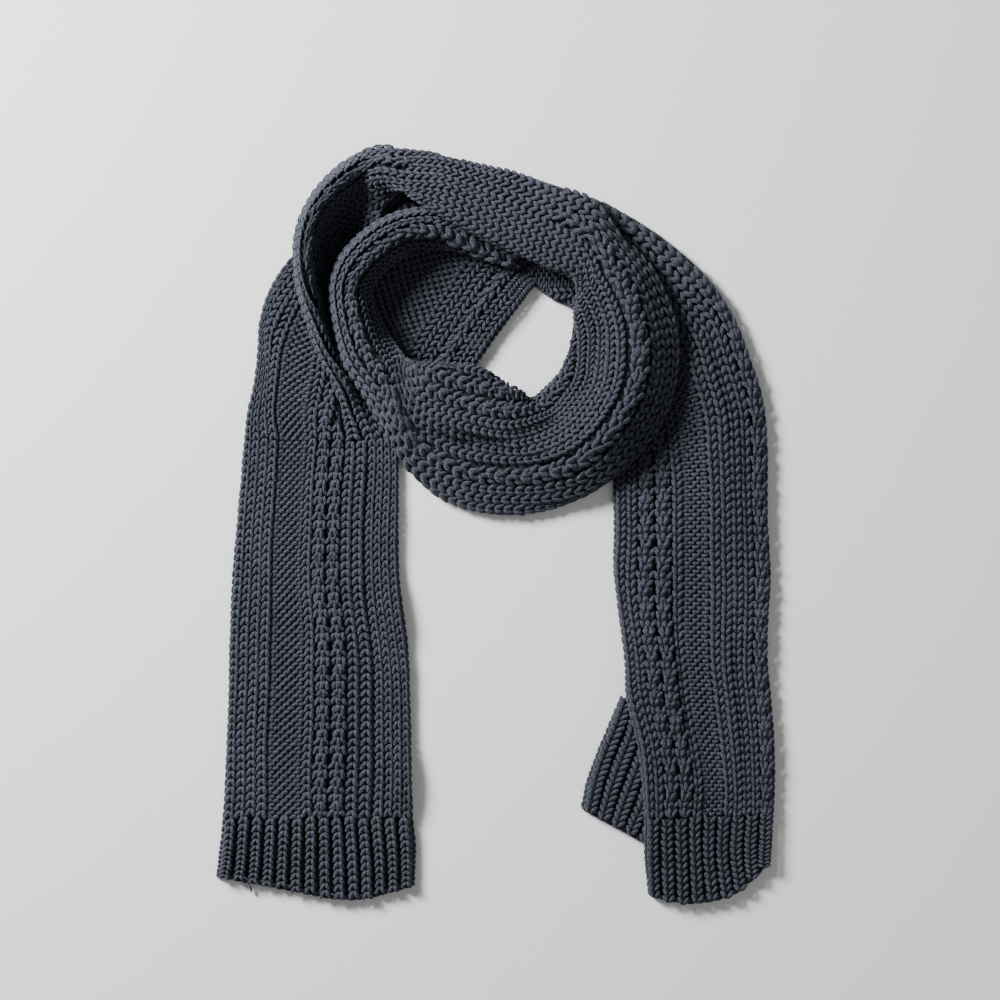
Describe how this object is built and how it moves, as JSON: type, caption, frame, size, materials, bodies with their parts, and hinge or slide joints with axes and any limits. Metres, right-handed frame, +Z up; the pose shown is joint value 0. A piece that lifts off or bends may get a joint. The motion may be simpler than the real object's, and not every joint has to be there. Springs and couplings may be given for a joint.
{
  "type": "knit scarf",
  "caption": "Chunky cable and rib knit scarf laid flat, wound once round with two ribbed tails hanging down and a small folded-back corner.",
  "frame": {"origin": "on the surface the scarf lies on, under the middle of its outline", "axes": "+Z up out of the surface, +Y from the hems towards the neck loop, +X to the right as seen from above"},
  "size_m": [0.4172, 0.5663, 0.0388],
  "materials": {
    "yarn": "matte charcoal wool-like yarn with a faint blue cast, soft nap and a light sheen at grazing angles"
  },
  "bodies": {
    "root": {"hem_left": "yarn", "tail_left": "yarn", "tail_fold": "yarn", "outer_turn": "yarn", "top_band": "yarn", "right_band": "yarn", "front_band": "yarn", "inner_ring": "yarn", "ring_floor": "yarn", "shoulder_right": "yarn", "tail_right": "yarn", "hem_right": "yarn", "flap_right": "yarn"}
  },
  "joints": []
}
